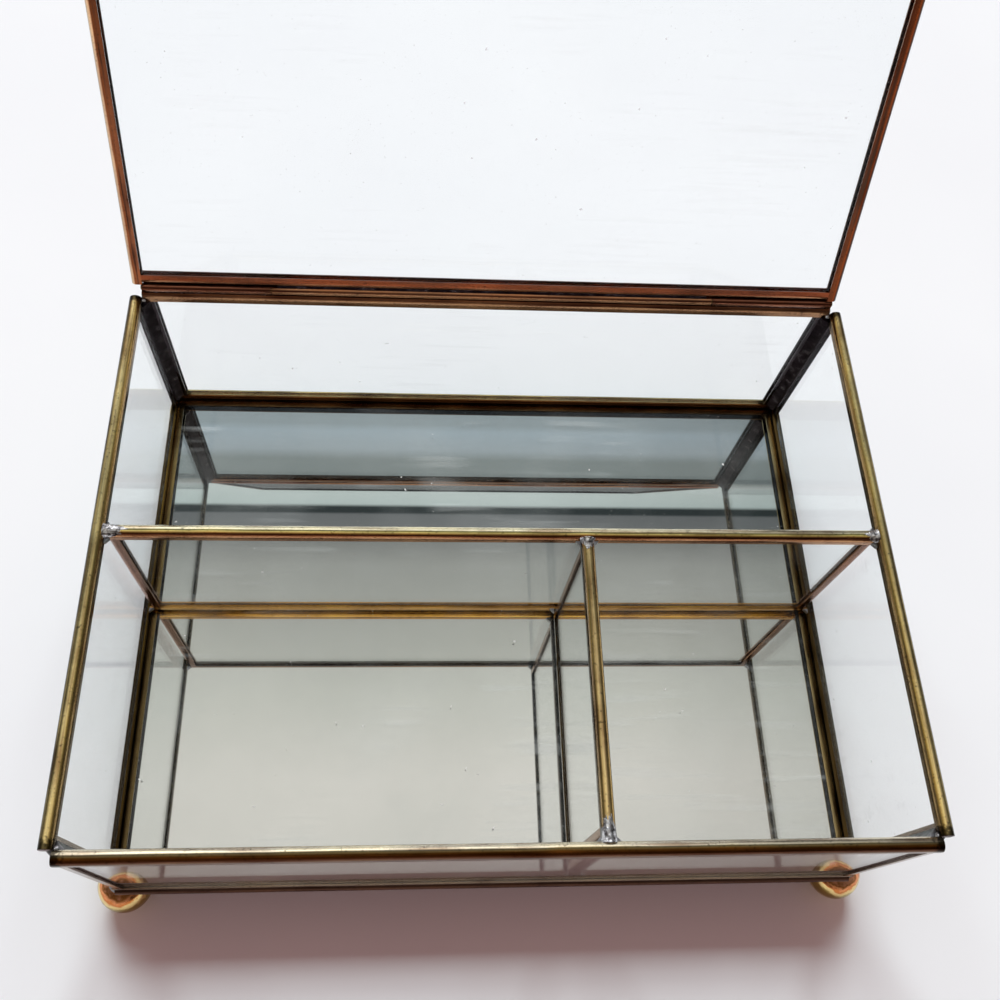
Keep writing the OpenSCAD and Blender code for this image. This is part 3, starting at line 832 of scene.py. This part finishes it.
surface = put(tree, "ShaderNodeMixShader", {0: faded, 1: paint.outputs[0], 2: backdrop})
tree.links.new(surface.outputs[0], output.inputs["Surface"])
floor_mesh.materials.append(floor_material)


# ---------------------------------------------------------------- light
# One large soft window behind the box, and a dim warm room. The room that polished
# things see is drawn as bands by height: pale ceiling above, a bright cove and window
# behind, and darkness over the front. Low down, glass and mirror see the pale backdrop.
window = bpy.data.lights.new("window", "AREA")
window.shape = "RECTANGLE"
window.size = 7.5
window.size_y = 5.6
window.energy = 1625.0
window.color = (0.864, 0.988, 1.0)
window_lamp = bpy.data.objects.new("window", window)
window_lamp.location = (-0.6, 8.0, 6.2)
window_lamp.rotation_euler = (radians(-52.2), 0.0, 0.0)
window_lamp.visible_camera = False
window_lamp.visible_transmission = False
window_lamp.visible_glossy = False
bpy.context.scene.collection.objects.link(window_lamp)

room = bpy.data.worlds.new("room")
bpy.context.scene.world = room
room.use_nodes = True
tree = room.node_tree
tree.nodes.clear()
outward = put(tree, "ShaderNodeSeparateXYZ", {0: put(tree, "ShaderNodeTexCoord").outputs["Generated"]})
lean = reckon(tree, "ARCTAN2", outward.outputs["Y"], outward.outputs["Z"])


def bands(low, high, *stops):
    """A ramp over the lean from straight up towards the back, between two angles in
    degrees; each stop is an angle and a colour."""
    place = spread(tree, lean, radians(low), radians(high))
    return shade(tree, place, *(((angle - low) / (high - low), colour) for angle, colour in stops))


whole_room = bands(
    -90.0, 90.0,
    (-90, (0.80, 0.79, 0.80)), (-83, (0.34, 0.28, 0.25)), (-70, (0.22, 0.16, 0.14)),
    (-56, (0.05, 0.035, 0.03)), (-38, (0.14, 0.12, 0.10)), (-22, (0.34, 0.31, 0.27)),
    (-8, (0.58, 0.56, 0.50)), (2, (0.76, 0.735, 0.70)), (10, (0.80, 0.775, 0.74)),
    (14, (0.66, 0.66, 0.62)), (21, (0.39, 0.40, 0.39)), (32, (0.45, 0.52, 0.56)), (36, (1.0, 1.0, 1.0)),
)
cove_low = 21.0
cove_high = 32.0
cove = bands(
    cove_low, cove_high,
    (21.0, (0.39, 0.40, 0.39)), (22.6, (0.20, 0.21, 0.215)), (23.7, (0.17, 0.18, 0.19)),
    (23.8, (0.04, 0.05, 0.053)), (24.1, (0.04, 0.05, 0.053)), (24.25, (0.54, 0.62, 0.62)),
    (25.3, (0.62, 0.69, 0.69)), (25.6, (0.27, 0.31, 0.32)), (26.7, (0.28, 0.32, 0.33)),
    (27.2, (0.42, 0.48, 0.53)), (28.2, (0.44, 0.52, 0.59)), (28.6, (0.36, 0.42, 0.46)),
    (32.0, (0.45, 0.52, 0.56)),
)
over = reckon(tree, "GREATER_THAN", lean, radians(cove_low))
under = reckon(tree, "LESS_THAN", lean, radians(cove_high))
within = reckon(tree, "MULTIPLY", over, under)
banded = mix(tree, within, whole_room, cove)
sideways = reckon(tree, "ARCTAN2", outward.outputs["X"], outward.outputs["Z"])
side_place = spread(tree, sideways, radians(-90.0), radians(90.0))
fall = shade(
    tree, side_place, (0.0, 0.25), (0.11, 0.22), (0.17, 0.25), (0.25, 0.50), (0.33, 0.92), (0.40, 1.0),
    (0.54, 1.0), (0.575, 0.94), (0.62, 0.75), (0.69, 0.42), (0.78, 0.24), (0.88, 0.18), (1.0, 0.28),
)
sideways_share = spread(tree, lean, radians(-87.0), radians(-80.0))
reflected = mix(tree, sideways_share, banded, fall, "MULTIPLY")
path = put(tree, "ShaderNodeLightPath")
mirrored = reckon(tree, "GREATER_THAN", path.outputs["Glossy Depth"], 0.5)
# Low down, what is reflected through glass is the pale backdrop, so that the mirror looks
# like one from the sides and from behind too, and not dark grey.
behind_glass = reckon(tree, "GREATER_THAN", path.outputs["Transmission Depth"], 1.5)
low_down = spread(tree, outward.outputs["Z"], 0.42, 0.77, 1.0, 0.0, ease="SMOOTHSTEP")
open_view = reckon(tree, "MULTIPLY", behind_glass, low_down)
reflected = mix(tree, open_view, reflected, backdrop_tone)
seen = mix(tree, mirrored, backdrop_tone, reflected)
warm_fill = (0.30, 0.172, 0.160, 1.0)
lit = mix(tree, path.outputs["Is Diffuse Ray"], seen, warm_fill)
peak = spread(tree, side_place, 0.57, 0.66, 2.3, 0.7)
glare = spread(tree, lean, radians(34.0), radians(46.0), 1.0, peak)
only = reckon(tree, "MULTIPLY", mirrored, reckon(tree, "SUBTRACT", 1.0, path.outputs["Is Diffuse Ray"]))
glare = put(tree, "ShaderNodeMix", {0: open_view, 2: glare, 3: 1.0}).outputs[0]
strength = put(tree, "ShaderNodeMix", {0: only, 2: 1.0, 3: glare}).outputs[0]
sky = put(tree, "ShaderNodeBackground", {"Color": lit, "Strength": strength})
tree.links.new(sky.outputs[0], put(tree, "ShaderNodeOutputWorld").inputs["Surface"])

bpy.context.scene.view_settings.view_transform = "Standard"
